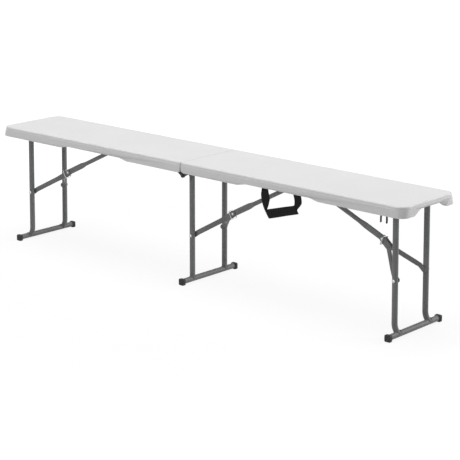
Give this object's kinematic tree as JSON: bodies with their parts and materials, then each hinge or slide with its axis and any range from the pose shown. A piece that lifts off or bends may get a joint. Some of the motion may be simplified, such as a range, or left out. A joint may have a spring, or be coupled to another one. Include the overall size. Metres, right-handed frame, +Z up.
{
  "type": "folding bench",
  "caption": "Long moulded plastic bench that folds in half, on steel rails with folding tube leg frames, knee braces with lock rings, a spring clip and a webbing carry strap.",
  "frame": {"origin": "on the floor under the middle of the fold line, midway across the bench", "axes": "+X along the bench toward the half with the carry strap, -Y toward the side with the strap, +Z up"},
  "size_m": [1.83, 0.286, 0.43],
  "materials": {
    "white_plastic": "blow-moulded polyethylene, off-white, finely grained, satin",
    "grey_paint": "grey powder coat on steel tube, satin with a fine texture",
    "dark_steel": "dark powder coat on flat steel",
    "zinc_steel": "bright zinc plating",
    "black_rubber": "black moulded foot caps, matt",
    "black_webbing": "flat woven black webbing"
  },
  "bodies": {
    "right_half": {"right_seat": "white_plastic", "right_rail_near": "grey_paint", "right_rail_far": "grey_paint", "right_hinge_plate_near": "dark_steel", "right_hinge_plate_far": "dark_steel", "hinge_rod": "dark_steel", "right_leg_pivot_rod": "zinc_steel", "right_brace_rod": "zinc_steel", "middle_brace_rod": "zinc_steel", "tube_clip": "dark_steel", "strap_anchor_inner": "dark_steel", "strap_anchor_outer": "dark_steel"},
    "left_half": {"left_seat": "white_plastic", "left_rail_near": "grey_paint", "left_rail_far": "grey_paint", "left_hinge_plate_near": "dark_steel", "left_hinge_plate_far": "dark_steel", "left_leg_pivot_rod": "zinc_steel", "left_brace_rod": "zinc_steel"},
    "left_leg": {"left_leg_cross_tube": "grey_paint", "left_foot_tube": "grey_paint", "left_upright_near": "grey_paint", "left_upright_far": "grey_paint", "left_foot_cap_near": "black_rubber", "left_foot_cap_far": "black_rubber", "left_leg_rivet_near": "zinc_steel", "left_leg_rivet_far": "zinc_steel"},
    "left_upper_brace": {"left_brace_upper": "grey_paint", "left_knee_rivet": "zinc_steel"},
    "left_arms": {"left_brace_arm_near": "grey_paint", "left_brace_arm_far": "grey_paint"},
    "left_ring": {"left_lock_ring": "zinc_steel"},
    "middle_leg": {"middle_leg_cross_tube": "grey_paint", "middle_foot_tube": "grey_paint", "middle_upright_near": "grey_paint", "middle_upright_far": "grey_paint", "middle_foot_cap_near": "black_rubber", "middle_foot_cap_far": "black_rubber", "middle_leg_rivet_near": "zinc_steel", "middle_leg_rivet_far": "zinc_steel"},
    "middle_upper_brace": {"middle_brace_upper": "grey_paint", "middle_knee_rivet": "zinc_steel"},
    "middle_arms": {"middle_brace_arm_near": "grey_paint", "middle_brace_arm_far": "grey_paint"},
    "middle_ring": {"middle_lock_ring": "zinc_steel"},
    "right_leg": {"right_leg_cross_tube": "grey_paint", "right_foot_tube": "grey_paint", "right_upright_near": "grey_paint", "right_upright_far": "grey_paint", "right_foot_cap_near": "black_rubber", "right_foot_cap_far": "black_rubber", "right_leg_rivet_near": "zinc_steel", "right_leg_rivet_far": "zinc_steel"},
    "right_upper_brace": {"right_brace_upper": "grey_paint", "right_knee_rivet": "zinc_steel"},
    "right_arms": {"right_brace_arm_near": "grey_paint", "right_brace_arm_far": "grey_paint"},
    "right_ring": {"right_lock_ring": "zinc_steel"},
    "strap": {"carry_strap": "black_webbing"}
  },
  "joints": [
    {"name": "centre_fold", "type": "hinge", "parent": "right_half", "child": "left_half", "pos_m": [0, 0, 0.385], "axis": [0, -1, 0], "range_deg": [0, 180]},
    {"name": "left_leg_fold", "type": "hinge", "parent": "left_half", "child": "left_leg", "pos_m": [-0.818, 0, 0.403], "axis": [0, -1, 0], "range_deg": [0, 91.2]},
    {"name": "left_brace_swing", "type": "hinge", "parent": "left_half", "child": "left_upper_brace", "pos_m": [-0.41111, 0, 0.407], "axis": [0, 1, 0], "range_deg": [0, 24.95]},
    {"name": "left_knee", "type": "hinge", "parent": "left_upper_brace", "child": "left_arms", "pos_m": [-0.70524, 0, 0.26237], "axis": [0, -1, 0], "range_deg": [0, 171.48]},
    {"name": "left_ring_slide", "type": "slide", "parent": "left_upper_brace", "child": "left_ring", "axis": [0.8974, 0, 0.4413], "range_m": [0, 0.21]},
    {"name": "middle_leg_fold", "type": "hinge", "parent": "right_half", "child": "middle_leg", "pos_m": [0, 0, 0.385], "axis": [0, -1, 0], "range_deg": [0, 90]},
    {"name": "middle_brace_swing", "type": "hinge", "parent": "right_half", "child": "middle_upper_brace", "pos_m": [0.41303, 0, 0.407], "axis": [0, 1, 0], "range_deg": [0, 21.72]},
    {"name": "middle_knee", "type": "hinge", "parent": "middle_upper_brace", "child": "middle_arms", "pos_m": [0.11589, 0, 0.24778], "axis": [0, -1, 0], "range_deg": [0, 172.97]},
    {"name": "middle_ring_slide", "type": "slide", "parent": "middle_upper_brace", "child": "middle_ring", "axis": [0.8814, 0, 0.4723], "range_m": [0, 0.21]},
    {"name": "right_leg_fold", "type": "hinge", "parent": "right_half", "child": "right_leg", "pos_m": [0.845, 0, 0.403], "axis": [0, 1, 0], "range_deg": [0, 91.2]},
    {"name": "right_brace_swing", "type": "hinge", "parent": "right_half", "child": "right_upper_brace", "pos_m": [0.44033, 0, 0.407], "axis": [0, -1, 0], "range_deg": [0, 22.06]},
    {"name": "right_knee", "type": "hinge", "parent": "right_upper_brace", "child": "right_arms", "pos_m": [0.74124, 0, 0.27729], "axis": [0, 1, 0], "range_deg": [0, 161.72]},
    {"name": "right_ring_slide", "type": "slide", "parent": "right_upper_brace", "child": "right_ring", "axis": [-0.9183, 0, 0.3958], "range_m": [0, 0.21]},
    {"name": "strap_swing", "type": "hinge", "parent": "right_half", "child": "strap", "pos_m": [0.429, -0.1285, 0.3994], "axis": [-1, 0, 0], "range_deg": [0, 90]}
  ],
  "couplings": [
    {"joint": "left_leg_fold", "follows": "centre_fold", "ratio": 0.50667},
    {"joint": "left_brace_swing", "follows": "centre_fold", "ratio": 0.13858},
    {"joint": "left_knee", "follows": "centre_fold", "ratio": 0.95265},
    {"joint": "left_ring_slide", "follows": "centre_fold", "m_per_rad": 0.066845},
    {"joint": "middle_leg_fold", "follows": "centre_fold", "ratio": 0.5},
    {"joint": "middle_brace_swing", "follows": "centre_fold", "ratio": 0.12064},
    {"joint": "middle_knee", "follows": "centre_fold", "ratio": 0.96097},
    {"joint": "middle_ring_slide", "follows": "centre_fold", "m_per_rad": 0.066845},
    {"joint": "right_leg_fold", "follows": "centre_fold", "ratio": 0.50667},
    {"joint": "right_brace_swing", "follows": "centre_fold", "ratio": 0.12258},
    {"joint": "right_knee", "follows": "centre_fold", "ratio": 0.89844},
    {"joint": "right_ring_slide", "follows": "centre_fold", "m_per_rad": 0.066845},
    {"joint": "strap_swing", "follows": "centre_fold", "ratio": 0.5}
  ]
}
